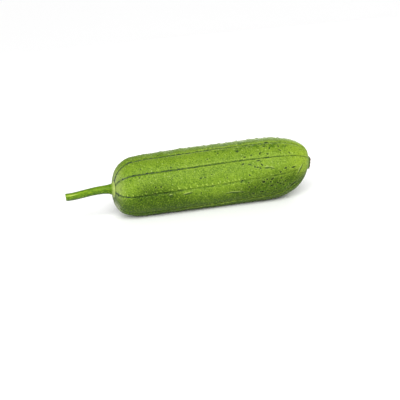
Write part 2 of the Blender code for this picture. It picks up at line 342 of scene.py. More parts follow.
class SkinGrid:
    """The grid of the fruit's skin, as arrays with a row for each ring and a column for each column.

    Rings stand at equal steps along the profile. Columns are shares of the ten lobes, moved by
    -crowding * sin(2 pi share) / (2 pi), so that they stand closer together beside the furrows.
    """

    def __init__(self):
        self.first_run, self.last_run = run_at(STALK_SEAT_X), run_at(STUB_SEAT_X)
        self.ring_run = np.linspace(self.first_run, self.last_run, RING_COUNT)
        ring_x = np.interp(self.ring_run, FINE_RUN, FINE_X)
        tracks = furrow_tracks(ring_x)
        gaps = np.diff(tracks, axis=1)
        steps = np.arange(COLUMNS_PER_LOBE) / COLUMNS_PER_LOBE
        shares = steps - COLUMN_CROWDING * np.sin(2 * np.pi * steps) / (2 * np.pi)
        self.shape = (RING_COUNT, len(FURROWS) * COLUMNS_PER_LOBE)
        self.degrees = (tracks[:, :-1, None] + shares * gaps[:, :, None]).reshape(self.shape)
        self.angle = np.radians(self.degrees)
        self.turn = (self.degrees / 360) % 1
        self.lobe = self.spread(np.repeat(np.arange(len(FURROWS)), COLUMNS_PER_LOBE))
        self.share = self.spread(np.tile(shares, len(FURROWS)))
        self.x = self.spread(ring_x[:, None])
        self.run = self.spread(self.ring_run[:, None])
        self.radius = self.spread(radius_at(ring_x)[:, None])
        self.girth = self.radius / FRUIT_RADIUS
        self.from_stalk = self.run - self.first_run
        self.along = self.from_stalk / (self.last_run - self.first_run)
        lobe_arc = np.radians(np.repeat(gaps, COLUMNS_PER_LOBE, axis=1)) * self.radius
        self.to_lower = self.share * lobe_arc
        self.to_upper = (1 - self.share) * lobe_arc
        self.to_furrow = np.minimum(self.to_lower, self.to_upper)
        self.nearest = np.where(self.share < 0.5, self.lobe, (self.lobe + 1) % len(FURROWS))

    def spread(self, values):
        """Values of one ring or of one column, spread over the whole grid."""
        return np.broadcast_to(values, self.shape)

    def strewn_marks(self, pitch, cells_round, length, width, lean, lean_spread, share, seed):
        """Bell-shaped marks of 0 to 1, one in each cell of a jittered lattice on the skin that holds any.

        A cell holds a mark with the chance `share`, which may vary over the skin. Each mark has its own
        place in its cell, strength, size and lean. The highest of the nine nearest cells' marks counts.
        """
        at_row = np.floor(self.run / pitch).astype(int)
        at_column = np.floor(self.turn * cells_round).astype(int)
        dice = np.random.default_rng(seed)
        cells = (at_row.max() + 3, cells_round)
        place_along, place_round, chance, strength, size, tilt = dice.random((6, *cells))
        highest = np.zeros(self.shape)
        for row_step in (-1, 0, 1):
            for column_step in (-1, 0, 1):
                row = at_row + row_step
                column = at_column + column_step
                cell = (row + 1, column % cells_round)
                along = self.run - (row + 0.15 + 0.7 * place_along[cell]) * pitch
                turned = self.turn - (column + 0.15 + 0.7 * place_round[cell]) / cells_round
                across = turned * 2 * np.pi * self.radius
                scale = 0.7 + 0.6 * size[cell]
                leaning = lean + lean_spread * (2 * tilt[cell] - 1)
                mark = bell(along, across, length * scale, width * scale, leaning)
                mark = mark * (0.5 + 0.5 * strength[cell]) * (chance[cell] < share)
                highest = np.maximum(highest, mark)
        return highest

    def placed_marks(self, marks, offset=0.0):
        """The listed blemishes as marks of 0 to 1, each moved sideways by an offset."""
        highest = np.zeros(self.shape)
        for x, angle, length, width, lean in marks:
            tilt = math.radians(lean)
            along = self.run - run_at(x * MM) + offset * math.sin(tilt)
            across = np.radians(degrees_from(self.degrees, angle)) * self.radius - offset * math.cos(tilt)
            highest = np.maximum(highest, bell(along, across, length * MM, width * MM, tilt))
        return highest

    def row_warts(self):
        """Warts of 0 to 1 in the rows along both sides of every furrow.

        A row has one wart in each pitch along the skin, at a jittered place, offset, strength and lean.
        The weak ones vanish, save in the regular row, which instead fades towards the blossom end.
        """
        highest = np.zeros(self.shape)
        fading = ramp(self.run, REGULAR_ROW_FADES, REGULAR_ROW_FADES + REGULAR_ROW_FADE_LENGTH)
        most_pitches = int(self.run.max() / WART_ROW_PITCH)
        dice = np.random.default_rng(WART_ROW_SEED)
        place, offset, strength, tilt, size = dice.random((5, 2 * len(FURROWS), most_pitches + 3))
        sides = ((0, self.to_lower, WART_ROW_OFFSET), (1, -self.to_upper, -WART_ROW_OFFSET))
        for side, distance, row_offset in sides:
            row = 2 * self.lobe + side
            regular = row == REGULAR_ROW
            pitch = np.where(regular, REGULAR_ROW_PITCH, WART_ROW_PITCH)
            at = np.floor(self.run / pitch).astype(int)
            for step in (-1, 0, 1):
                cell = (row, at + step + 1)
                along = self.run - (at + step + 0.2 + 0.6 * place[cell]) * pitch
                across = distance - row_offset - WART_ROW_JITTER * (2 * offset[cell] - 1)
                lean = np.radians(WART_LEAN + WART_LEAN_SPREAD * (2 * tilt[cell] - 1))
                scale = np.where(regular, REGULAR_WART_SCALE, 0.7 + 0.35 * size[cell])
                mark = bell(along, across, WART_LENGTH * scale, WART_WIDTH * scale, lean)
                proud = (0.7 + 0.3 * strength[cell]) * (1 - REGULAR_ROW_LOSS * fading)
                standing = np.where(regular, proud, 1.2 * strength[cell] - 0.35)
                highest = np.maximum(highest, mark * np.clip(standing, 0, 1))
        return highest


def add_uv(mesh, along, over, turn_length, quads, first_fan, last_fan, flipped):
    """The UV map "unrolled": metres along the skin, and metres round it at full girth, for every corner.

    The seam lies in the first column. Corners that lie beyond it are a whole turn further round.
    """
    columns = over.shape[1]
    flat = np.stack([along.reshape(-1), over.reshape(-1)], axis=-1)
    corner_sets = []
    for faces, pole_ring in ((quads, None), (first_fan, 0), (last_fan, -1)):
        uv = flat[np.clip(faces - 1, 0, len(flat) - 1)]
        if pole_ring is not None:
            between_columns = over[pole_ring] + turn_length / columns / 2
            uv[:, 0] = np.stack([along[pole_ring], between_columns], axis=-1)
        wraps = uv[..., 1].max(axis=1) - uv[..., 1].min(axis=1) > turn_length / 2
        low = uv[..., 1] < uv[..., 1].mean(axis=1, keepdims=True)
        uv[..., 1] += np.where(wraps[:, None] & low, turn_length, 0)
        if flipped:
            uv = uv[:, ::-1]
        corner_sets.append(uv.reshape(-1, 2))
    layer = mesh.uv_layers.new(name="unrolled")
    layer.data.foreach_set("uv", np.concatenate(corner_sets).reshape(-1).astype(np.float32))


def closed_grid(name, rings, poles, attributes, unrolled=None):
    """A closed mesh from rings of points, shape (rings, columns, 3), with a pole at each end, facing out.

    `attributes` maps a name to a (rings, columns) array. A pole takes the mean of the ring beside it.
    `unrolled` is (metres along, metres round, metres in a whole turn), for the UV map. The faces are
    turned over where they enclose a negative volume.
    """
    ring_count, column_count, _ = rings.shape
    first_pole, last_pole = poles
    points = np.concatenate([[first_pole], rings.reshape(-1, 3), [last_pole]])
    here = np.arange(column_count)
    beyond = (here + 1) % column_count
    starts = 1 + np.arange(ring_count - 1)[:, None] * column_count
    nexts = starts + column_count
    quads = np.stack([starts + here, starts + beyond, nexts + beyond, nexts + here], axis=-1)
    quads = quads.reshape(-1, 4)
    last_start = 1 + (ring_count - 1) * column_count
    last = np.full_like(here, len(points) - 1)
    first_fan = np.stack([np.zeros_like(here), 1 + beyond, 1 + here], axis=-1)
    last_fan = np.stack([last, last_start + here, last_start + beyond], axis=-1)
    triangles = np.concatenate([quads[:, [0, 1, 2]], quads[:, [0, 2, 3]], first_fan, last_fan])
    corners = points[triangles]
    volume = np.einsum("ij,ij->i", corners[:, 0], np.cross(corners[:, 1], corners[:, 2])).sum()
    order = -1 if volume < 0 else 1
    faces = [face for part in (quads, first_fan, last_fan) for face in part[:, ::order].tolist()]
    mesh = bpy.data.meshes.new(name)
    mesh.from_pydata(points.tolist(), [], faces)
    if unrolled:
        add_uv(mesh, *unrolled, quads, first_fan, last_fan, volume < 0)
    for key, values in attributes.items():
        spread = np.concatenate([[values[0].mean()], values.reshape(-1), [values[-1].mean()]])
        mesh.attributes.new(key, "FLOAT", "POINT").data.foreach_set("value", spread.astype(np.float32))
    mesh.shade_smooth()
    piece = bpy.data.objects.new(name, mesh)
    bpy.context.scene.collection.objects.link(piece)
    return piece


# Blemishes that stand out: mm from the stalk end, angle round the fruit, length and width
# in mm, and lean in degrees from the fruit's length. First the dark pits
PITS = (
    (181, 73, 2.3, 1.2, -10),
    (178, 61, 2.4, 0.8, 20),
    (147, 56, 1.9, 1.2, 20),
    (161, 64, 1.3, 0.8, 60),
    (172, 46, 2.3, 0.8, 55),
    (180, 43, 1.5, 0.7, -50),
    (183, 55, 1.5, 0.8, 80),
    (193, 60, 1.5, 0.8, 80),
    (194, 49, 2.0, 0.7, -30),
    (204, 42, 1.4, 0.7, -40),
    (201, 62, 1.0, 0.7, 0),
    (162, 44, 1.1, 0.7, 0),
    (154, 42, 1.3, 0.9, 0),
    (151, 29, 1.8, 0.8, 35),
    (158, 27, 1.2, 0.7, -30),
    (160, 26, 1.0, 0.7, 0),
    (169, 32, 2.3, 0.8, 0),
    (168, 70, 1.7, 1.0, 0),
    (172, 71, 1.4, 0.9, 30),
    (125, 57.5, 1.1, 0.8, 0),
    (112, 48, 1.0, 0.7, 0),
    (164, 22, 1.5, 0.7, 85),
    (167, 20, 1.2, 0.9, 0),
    (170, 18, 1.4, 0.7, -40),
    (172, 24, 1.7, 0.8, -35),
    (198, 12, 1.7, 0.9, 30),
    (207, 11, 3.0, 0.75, 12),
    (192, 6, 1.3, 0.8, 50),
    (182, -5, 2.1, 0.8, 45),
    (172, -8, 1.8, 1.1, 0),
    (192, -6, 1.1, 0.7, 0),
    (148, 0, 1.5, 0.8, -30),
    (157, 8, 0.9, 0.8, 0),
    (197, -15, 1.2, 0.8, 0),
    (191, -17, 1.6, 0.7, -50),
    (181, -18, 2.6, 0.7, 15),
    (169, -28, 2.5, 1.0, 0),
    (186, -27, 1.1, 0.8, 0),
    (188, -14, 1.2, 0.8, 20),
    (186, -19, 1.0, 0.8, 0),
    (203, -26, 1.2, 0.8, 30),
    (162, -17, 1.1, 0.8, 0),
    (176, -4, 1.1, 0.8, 0),
    (155, -6, 1.0, 0.8, 0),
    (147, -24, 1.2, 0.8, 0),
    (180, -10, 1.3, 0.7, -30),
    (195, -22, 1.4, 0.7, 40),
    (159, -32, 1.5, 1.1, 0),
    (155, -14, 1.1, 0.8, 0),
    (200, -35, 1.4, 0.8, 50),
    (207, -30, 4.6, 1.3, 22),
    (205, -32, 2.0, 1.1, 30),
    (31, 30, 1.1, 0.7, 0),
    (34, 47, 1.4, 0.55, 0),
    (70, 41, 1.3, 0.7, 20),
    (25, 80, 1.1, 0.6, 0),
    (57, 77, 1.1, 0.6, 0),
    (50, 8, 1.0, 0.7, 0),
    (38, 2, 1.0, 0.7, 0),
    (102, 14, 1.6, 0.7, 15),
    (107, 15, 1.1, 0.7, 0),
)
# Dark green patches, given in the same way
SMUDGES = (
    (169, 69, 5.5, 2.2, 0),
    (188, 66, 4.5, 2.4, 10),
    (178, 67, 5.0, 2.0, 0),
    (171, 60, 3.5, 2.0, 60),
    (185, 60, 3.0, 1.6, 70),
    (156, 66, 6.5, 1.8, 8),
    (149, 62, 4.5, 1.6, 12),
    (140, 70, 6.0, 1.5, 5),
    (134, 80, 5.0, 1.6, 0),
    (153, 80, 5.0, 1.6, 0),
    (195, 74, 4.5, 1.5, 0),
    (187, 61, 3.2, 3.0, 0),
    (168, 66, 4.2, 2.8, 0),
    (124, 62, 3.0, 1.4, 0),
    (131, 62, 2.4, 1.2, 0),
    (114, 50, 1.8, 1.0, 30),
    (152, 77, 3.0, 2.0, 0),
    (147, 57, 3.2, 2.2, 20),
    (198, 58, 3.2, 1.6, 0),
    (124, 72, 4.0, 1.4, 0),
    (186, -20, 7.0, 3.0, 20),
    (170, -24, 7.0, 2.6, 10),
    (198, -28, 6.0, 3.0, 20),
    (178, -12, 5.0, 1.8, 15),
    (150, -3, 5.0, 1.6, 0),
    (110, 78, 3.5, 1.2, 0),
    (18, 28, 2.2, 1.0, 5),
)
# Low bumps along the crest, given in the same way
CREST_BUMPS = (
    (40, 107, 1.8, 1.8, 0),
    (46, 105, 1.5, 1.6, 0),
    (59.5, 107, 2.2, 1.8, 0),
    (70.5, 105, 1.8, 1.8, 0),
    (82.5, 107, 2.0, 1.8, 0),
    (88.5, 104, 1.5, 1.6, 0),
    (93.5, 107, 1.5, 1.8, 0),
    (103, 105, 1.8, 1.6, 0),
    (110.5, 107, 1.8, 1.8, 0),
    (119, 105, 2.0, 1.7, 0),
    (128, 107, 1.6, 1.8, 0),
    (137, 105, 1.7, 1.8, 0),
    (148.5, 106, 2.0, 1.8, 0),
    (163.5, 105, 2.8, 1.8, 0),
    (172.5, 106, 1.6, 1.8, 0),
    (181, 104, 2.0, 1.8, 0),
    (189, 106, 1.6, 1.7, 0),
    (195.5, 105, 1.4, 1.6, 0),
)
# Creases, each with a pale ridge above its dark line, given in the same way. The ridge's paleness is a
# painted highlight and the line's darkness painted shade
CREASES = (
    (177.5, 18.2, 3.2, 0.85, 0),
    (183, 16.4, 3.4, 0.6, -18),
    (215.5, 4, 6.5, 0.9, 50),
    (66, -10, 2.6, 0.8, 8),
    (85, -11, 6.0, 0.9, 10),
    (138, -21, 12.0, 0.8, -3),
)


def furrow_ink(grid):
    """How dark the line is in the furrow nearest to each point, and the share of its depth it has there.

    The darkness runs straight from a furrow's one end to its other. A short and a slow noise along the
    furrow break its line, the more so the more broken it is.
    """
    ink = np.zeros(grid.shape)
    depth = np.zeros(grid.shape)
    for number, (_, _, _, dark_start, dark_end, brokenness) in enumerate(FURROWS):
        short = line_noise(grid.ring_run, INK_PITCH, INK_SEED + number)
        slow = line_noise(grid.ring_run, SLOW_INK_PITCH, SLOW_INK_SEED + number)
        darkness = dark_start + (dark_end - dark_start) * grid.along[:, 0]
        breaks = brokenness * (1.3 * short + 0.7 * slow - 0.7)
        strength = darkness * np.clip(1 + breaks, 0, MOST_INK)
        full = PALE_FURROW_DEPTH + (1 - PALE_FURROW_DEPTH) * np.clip(darkness, 0, 1)
        here = grid.nearest == number
        ink = np.where(here, strength[:, None], ink)
        depth = np.where(here, full[:, None], depth)
    return ink, depth


def skin_marks(grid):
    """Everything that stands on the skin or is cut into it, by name, each as marks of 0 to 1."""
    strewn = grid.strewn_marks(
        pitch=STREWN_PITCH,
        cells_round=STREWN_ROUND,
        length=STREWN_LENGTH,
        width=STREWN_WIDTH,
        lean=math.radians(WART_LEAN),
        lean_spread=STREWN_LEAN_SPREAD,
        share=STREWN_SHARE,
        seed=STREWN_SEED,
    )
    blossom_half = ramp(grid.along, *BLOSSOM_HALF)
    listed_side = np.clip(2 * np.cos(grid.angle - LISTED_PITS_ANGLE), 0, 1) * blossom_half
    pits = grid.strewn_marks(
        pitch=PIT_PITCH,
        cells_round=PITS_ROUND,
        length=PIT_LENGTH,
        width=PIT_WIDTH,
        lean=PIT_LEAN,
        lean_spread=PIT_LEAN_SPREAD,
        share=PITTED_CELLS + MORE_PITTED_CELLS * blossom_half,
        seed=PIT_SEED,
    )
    return {
        "row": grid.row_warts(),
        "strewn": strewn * ramp(grid.to_furrow, 0, STREWN_ROOM),
        "pit": np.maximum(pits * (1 - FEWER_AMONG_LISTED * listed_side), grid.placed_marks(PITS)),
        "ridge": grid.placed_marks(CREASES, CREASE_APART),
        "crease": grid.placed_marks(CREASES, -CREASE_APART),
        "bump": grid.placed_marks(CREST_BUMPS),
        "smudge": grid.placed_marks(SMUDGES),
    }


def skin_relief(grid, marks, depth):
    """Height of the skin over its profile.

    Each lobe rises as a sine between its furrows, and each furrow cuts in as exp(-(distance/spread)^2).
    The product of two crossed waves makes gentle lumps, and dimples, warts, bumps, creases and pits are
    added. All of it shrinks with the root of the girth and fades out beside the stalk and the stub.
    """
    first = np.sin(2 * np.pi * grid.x / FIRST_WAVE_LENGTH + FIRST_WAVE_TURNS * grid.angle)
    second = np.cos(2 * np.pi * grid.x / SECOND_WAVE_LENGTH - SECOND_WAVE_TURNS * grid.angle)
    dimples = skin_noise(grid.run, grid.turn, DIMPLE_PITCH, DIMPLES_ROUND, DIMPLE_SEED)
    relief = LOBE_RISE * np.sin(np.pi * grid.share)
    relief -= FURROW_DEPTH * depth * hill(grid.to_furrow, FURROW_SPREAD)
    relief += LUMP_HEIGHT * first * second + DIMPLE_HEIGHT * dimples
    rows = marks["row"] * (0.5 + 0.5 * slope(grid.along, 0, LOW_ROWS))
    warts = np.maximum(rows, STREWN_HEIGHT * marks["strewn"])
    bump_share = LOW_BUMP_SHARE + (1 - LOW_BUMP_SHARE) * ramp(grid.along, 0, TALL_BUMPS_FROM)
    relief += np.maximum(WART_HEIGHT * warts, CREST_BUMP_HEIGHT * bump_share * marks["bump"])
    relief += CREASE_STEP * (marks["ridge"] - CREASE_CUT * marks["crease"]) - PIT_DEPTH * marks["pit"]
    to_seat = np.minimum(grid.from_stalk, grid.last_run - grid.run)
    return relief * np.sqrt(grid.girth) * ramp(to_seat, 0, SMOOTH_END)


def painted_shade_share(grid):
    """Share of the painted shade's deep green: it follows the height round the fruit, and how far up it
    reaches.
    """
    blossom_stretch = ramp(grid.along, *BLOSSOM_STRETCH_STARTS) * ramp(grid.along, *BLOSSOM_STRETCH_ENDS)
    stalk_stretch = ramp(grid.along, *STALK_STRETCH_STARTS) * ramp(grid.along, *STALK_STRETCH_ENDS)
    middle_stretch = hill(grid.along - MIDDLE_STRETCH_AT, MIDDLE_STRETCH_SPREAD)
    shade = PAINTED_SHADE_TOP - np.sin(grid.angle)
    shade += BLOSSOM_STRETCH_RISE * blossom_stretch + STALK_STRETCH_RISE * stalk_stretch
    shade -= MIDDLE_STRETCH_DROP * middle_stretch
    return ramp(shade, 0, PAINTED_SHADE_FADE)


def line_distance(grid):
    """Millimetres from the nearest furrow, as its line counts them: more where the line is narrower."""
    taper = 1 + LINE_TAPER * grid.along**2
    flare = 1 - LINE_FLARE * hill(grid.from_stalk, LINE_FLARE_RUN)
    return grid.to_furrow / MM / grid.girth**0.2 * taper * flare


def skin_attributes(grid, marks, ink):
    """What the skin's colours read, by name."""
    painted_shade = painted_shade_share(grid)
    crown = hill(degrees_from(grid.degrees, CROWN_ANGLE), CROWN_SPREAD) * slope(grid.along, *CROWN_ENDS)
    # The crest band is a painted highlight
    crest = hill(degrees_from(grid.degrees, CREST_ANGLE), CREST_SPREAD)
    crest *= ramp(grid.along, *CREST_STARTS) * ramp(grid.along, *CREST_ENDS)
    dust = bell(grid.from_stalk - DUST_RUN, grid.to_furrow, DUST_LENGTH, DUST_WIDTH)
    from_grey_arc = degrees_from(grid.degrees, GREY_ARC_ANGLE)
    return {
        "ring_side": hill(degrees_from(grid.degrees, RING_ANGLE), RING_SPREAD),
        "furrow_mm": line_distance(grid),
        "ink": ink,
        "wart": np.maximum(marks["row"], 0.5 * marks["strewn"]),
        "pit": marks["pit"],
        "ridge": marks["ridge"],
        "crease": marks["crease"],
        "along": grid.along,
        "collar_mm": grid.from_stalk / MM,
        "grey_arc": bell(grid.from_stalk - GREY_ARC_RUN, from_grey_arc, GREY_ARC_LENGTH, GREY_ARC_SPREAD),
        "dust": dust * (grid.nearest == DUSTY_FURROW),
        # Painted shade towards the underside; "deep" adds the crown's slightly deeper band to it
        "painted_shade": painted_shade,
        "deep": np.maximum(painted_shade, CROWN_DEPTH * crown),
        "smudge": marks["smudge"],
        "crest": crest * (1 - np.clip(1.6 * marks["bump"], 0, 1)),
        "bump": marks["bump"],
    }


def make_skin():
    """The fruit's skin, from its stalk seat to its stub seat: its profile and relief, bent with its axis."""
    grid = SkinGrid()
    ink, depth = furrow_ink(grid)
    marks = skin_marks(grid)
    points = skin_points(grid.x, grid.radius + skin_relief(grid, marks, depth), grid.angle)
    poles = (points[0].mean(axis=0), points[-1].mean(axis=0))
    whole_turn = 2 * math.pi * FRUIT_RADIUS
    unrolled = (grid.run, grid.degrees / 360 * whole_turn, whole_turn)
    return closed_grid("gourd_skin", points, poles, skin_attributes(grid, marks, ink), unrolled)


# The stalk, as in the solids
STALK_LENGTH = 55.3 * MM
STALK_RADIUS = 4.75 * MM
STALK_CUT_RADIUS = 4.15 * MM
COLLAR_RADIUS = 8.5 * MM
COLLAR_RUN = 3.2 * MM
STALK_DROP = 4.5 * MM
STALK_DROP_DELAY = 1.4
STALK_LIFT_RUN = 30 * MM
STALK_SWING = 4.5 * MM
STALK_RIDGES = 5
STALK_RIDGE_SHARE = 0.07
STALK_ROOT = 0.9 * MM  # how far its flare reaches into the fruit
STALK_COLUMNS = 150
STALK_RINGS = 200

# Its finer forms
HALF_RIDGE_SHARE = 0.02  # of the radius: a low ridge between each two
STALK_TWIST = 0.25  # radians, over its whole length
RIDGES_GROW_RUN = 9 * MM  # from a quarter of their height at the fruit
FIBRE_HEIGHT = 0.07 * MM
FIBRE_PITCH = 16 * MM
FIBRES_ROUND = 50
STALK_WAVE = 0.02  # share of the radius by which it swells and narrows
STALK_WAVE_PITCH = 13 * MM

# Its cut end, which the knife made aslant. The face goes from its edge to its middle: share of the radius,
# and mm that it stands out
CUT_FACE = (
    (0.985, 0.02),
    (0.93, 0.05),
    (0.82, -0.05),
    (0.66, -0.12),
    (0.5, -0.1),
    (0.3, -0.05),
    (0.14, -0.25),
)
CUT_MIDDLE = -0.35 * MM
CUT_ROUGHNESS = 0.1 * MM
CUT_ROUGH_ROUND = 24
CUT_SLANT = 0.3  # run of the stalk's end for each unit away from the viewer
CUT_SLANT_RUN = 6 * MM
CUT_REACH = 1.1 * MM  # beyond the end of its centreline
CUT_EDGE_ANGLE = 50  # degrees; sharper edges of the stalk stay crisp
CUT_EDGE_PALENESS = 0.6

# A pale streak of painted highlight on the stalk's upper front, by its cut end, and painted shade on its
# underside
STREAK_RUN = 48 * MM
STREAK_TURN = 146  # degrees round the stalk, from the side away from the viewer upwards
STREAK_LENGTH = 7.5 * MM
STREAK_WIDTH = 0.75 * MM
UNDER_TURN = -8  # degrees by which the underside is turned towards the viewer
UNDER_TOP = 0.36  # height round the stalk where it starts and ends, in radii
UNDER_GAIN = 1.1


def stalk_line(run):
    """Centreline of the stalk: it leaves square to its seat, then droops and swings away from the viewer."""
    share = np.clip(run / STALK_LENGTH, 0, None)
    square_run = run * np.exp(-run / STALK_LIFT_RUN)
    drop = STALK_DROP * (1 - np.cos(np.pi * share**STALK_DROP_DELAY)) / 2
    side = STALK_SWING * share**2 - STALK_END_TURN * square_run
    seat = np.array([STALK_SEAT_X - FRUIT_LENGTH / 2, bow_at(STALK_SEAT_X), AXIS_HEIGHT])
    return seat + np.stack([-run, side, STALK_END_SLANT * square_run - drop], axis=-1)


def carried_frames(line):
    """Three unit vectors at each point of a line: level to its side, upwards from it, and along it."""
    ahead = np.gradient(line, axis=0)
    ahead /= np.linalg.norm(ahead, axis=1, keepdims=True)
    side = np.cross(ahead, [0.0, 0.0, 1.0])
    side /= np.linalg.norm(side, axis=1, keepdims=True)
    return side, np.cross(side, ahead), ahead


def stalk_radius(run, turn, twisted):
    """Radius of the stalk on a grid of rings.

    A tapered stem and a flare that dies away as exp(-run/COLLAR_RUN), times 1 + ridges, where the ridges
    are cosines round the twisted stalk. Fine fibres are added, and a slow wave swells the whole.
    """
    stem = STALK_RADIUS + (STALK_CUT_RADIUS - STALK_RADIUS) * run / STALK_LENGTH
    flare = (COLLAR_RADIUS - STALK_RADIUS) * np.exp(-np.maximum(run, 0) / COLLAR_RUN)
    ridges = STALK_RIDGE_SHARE * np.cos(STALK_RIDGES * twisted)
    ridges += HALF_RIDGE_SHARE * np.cos(2 * STALK_RIDGES * twisted + 1.0)
    ridges *= 0.25 + 0.75 * ramp(run, 0, RIDGES_GROW_RUN)
    fibres = skin_noise(run + STALK_ROOT, turn / (2 * np.pi), FIBRE_PITCH, FIBRES_ROUND, FIBRE_SEED)
    wave = 1 + STALK_WAVE * line_noise(run[:, 0], STALK_WAVE_PITCH, STALK_WAVE_SEED)[:, None]
    return ((stem + flare) * (1 + ridges) + FIBRE_HEIGHT * fibres) * wave


def cut_face(centre, edge, ahead, turn):
    """Rings of the cut face: the stalk's last ring drawn in towards its middle, and roughened by noise."""
    rings = []
    for shrink, push in CUT_FACE:
        inwards = np.full(STALK_COLUMNS, shrink)
        noise = skin_noise(inwards, turn / (2 * np.pi), 1.0, CUT_ROUGH_ROUND, int(100 * shrink))
        reach = CUT_REACH * (1 - shrink) + push * MM + CUT_ROUGHNESS * noise
        rings.append(centre + edge * shrink + ahead * reach[:, None])
    return np.stack(rings)


def with_face(values, on_face):
    """Values on the stalk's rings, and then those on the rings of its cut face."""
    return np.concatenate([values, np.broadcast_to(on_face, (len(CUT_FACE), STALK_COLUMNS))])


def make_stalk():
    """The stalk: its ridged outline carried along its centreline, and closed by the cut face.

    Near its end each point is pushed outwards by CUT_REACH + CUT_SLANT * its place across the stalk, which
    slants the cut.
    """
    ring_run = np.linspace(-STALK_ROOT, STALK_LENGTH, STALK_RINGS)
    ring_turn = np.linspace(0, 2 * np.pi, STALK_COLUMNS, endpoint=False)
    run, turn = np.meshgrid(ring_run, ring_turn, indexing="ij")
    twisted = turn + STALK_TWIST * run / STALK_LENGTH
    line = stalk_line(ring_run)
    side, up, ahead = carried_frames(line)
    across = np.cos(turn)[..., None] * side[:, None] + np.sin(turn)[..., None] * up[:, None]
    offset = stalk_radius(run, turn, twisted)[..., None] * across
    by_cut = ramp(run, STALK_LENGTH - CUT_SLANT_RUN, STALK_LENGTH)
    offset += ((CUT_SLANT * offset[..., 1] + CUT_REACH) * by_cut)[..., None] * ahead[-1]
    rings = np.concatenate([line[:, None] + offset, cut_face(line[-1], offset[-1], ahead[-1], ring_turn)])
    poles = (line[0], line[-1] + ahead[-1] * (CUT_REACH + CUT_MIDDLE))
    stalk = closed_grid("gourd_stalk", rings, poles, stalk_attributes(run, turn, twisted))
    stalk.data.set_sharp_from_angle(angle=math.radians(CUT_EDGE_ANGLE))
    return stalk


def stalk_attributes(run, turn, twisted):
    """What the stalk's colours read, by name."""
    cut = with_face(np.zeros_like(run), 1.0)
    cut[STALK_RINGS - 1] = CUT_EDGE_PALENESS
    ridge_top = np.cos(STALK_RIDGES * twisted)
    from_streak = (turn - math.radians(STREAK_TURN)) * STALK_CUT_RADIUS
    streak = bell(run - STREAK_RUN, from_streak, STREAK_LENGTH, STREAK_WIDTH)
    # Share of the painted shade on the underside
    under = ramp(UNDER_TOP - UNDER_GAIN * np.sin(turn - math.radians(UNDER_TURN)), 0, 1)
    return {
        "run_mm": with_face(run, STALK_LENGTH) / MM,
        "cut": cut,
        "ridge_top": with_face(ridge_top, ridge_top[-1]),
        "streak": with_face(streak, 0.0),
        "under": with_face(under, under[-1]),
    }


# The stub of the flower, as in the solids
STUB_BASE_RADIUS = 9.3 * MM
STUB_NECK_RADIUS = 7.1 * MM
STUB_NECK_HEIGHT = 1.6 * MM
STUB_RIM_RADIUS = 6.6 * MM
STUB_HEIGHT = 3.0 * MM
RIM_DROP_OUTSIDE = 0.4 * MM
RIM_DROP_INSIDE = 0.25 * MM
SCAR_RADIUS = 5.2 * MM
SCAR_DEPTH = 1.1 * MM
SCAR_DIP = 0.1 * MM
SCAR_DIP_RADIUS = 4.2 * MM
SCAR_FLOOR = STUB_HEIGHT - SCAR_DEPTH
STYLE_RADIUS = 1.5 * MM
STYLE_HEIGHT = 0.8 * MM
STUB_LOBES = 5
STUB_LOBE_OUT = 0.55 * MM
STUB_LOBE_UP = 0.5 * MM
LOWEST_LOBE_MORE = 1.0  # the lobe on the underside stands out this much further, as a share
LOWEST_LOBE_SPREAD = math.sqrt(0.1)  # radians
STUB_COLUMNS = 180
STUB_RINGS = 90
STUB_ROOT = 0.8 * MM

# Its finer forms
STUB_BASE_BULGE = 0.2 * MM
STUB_ROUNDING = 8  # how often its profile is smoothed
BESIDE_STYLE = (2.2 * MM, 3.7 * MM)  # the radii between which its waves and its wear begin
LOBE_UNEVENNESS = 0.3
RIM_RAGGEDNESS = 0.22 * MM
RAGS_ROUND = 46
RAGS_ALONG = 12
FRINGE_HEIGHT = 0.3 * MM
FRINGES_ROUND = 70
FRINGES_ALONG = 3
STUB_ROUGHNESS = 0.06 * MM


def stub_profile():
    """Radius and height of the stub's profile, from its base up the neck, over the rim and into the scar.

    The corners are joined by straight lines, sampled evenly and smoothed by averaging neighbours.
    """
    corners = np.array(
        [
            (STUB_BASE_RADIUS * 0.6, -STUB_ROOT),
            (STUB_BASE_RADIUS + STUB_BASE_BULGE, -STUB_ROOT * 0.5),
            (STUB_BASE_RADIUS, 0.0),
            (STUB_NECK_RADIUS, STUB_NECK_HEIGHT),
            (STUB_RIM_RADIUS, STUB_HEIGHT - RIM_DROP_OUTSIDE),
            ((SCAR_RADIUS + STUB_RIM_RADIUS) / 2, STUB_HEIGHT),
            (SCAR_RADIUS, STUB_HEIGHT - RIM_DROP_INSIDE),
            (SCAR_DIP_RADIUS, SCAR_FLOOR - SCAR_DIP),
            (STYLE_RADIUS * 1.5, SCAR_FLOOR),
            (STYLE_RADIUS, SCAR_FLOOR + STYLE_HEIGHT * 0.7),
            (STYLE_RADIUS * 0.5, SCAR_FLOOR + STYLE_HEIGHT),
        ]
    )
    length = np.concatenate([[0], np.cumsum(np.linalg.norm(np.diff(corners, axis=0), axis=1))])
    steps = np.linspace(0, length[-1], STUB_RINGS)
    profile = np.stack([np.interp(steps, length, values) for values in corners.T], axis=1)
    for _ in range(STUB_ROUNDING):
        profile[1:-1] = (profile[:-2] + 2 * profile[1:-1] + profile[2:]) / 4
    return profile[:, 0, None], profile[:, 1, None]


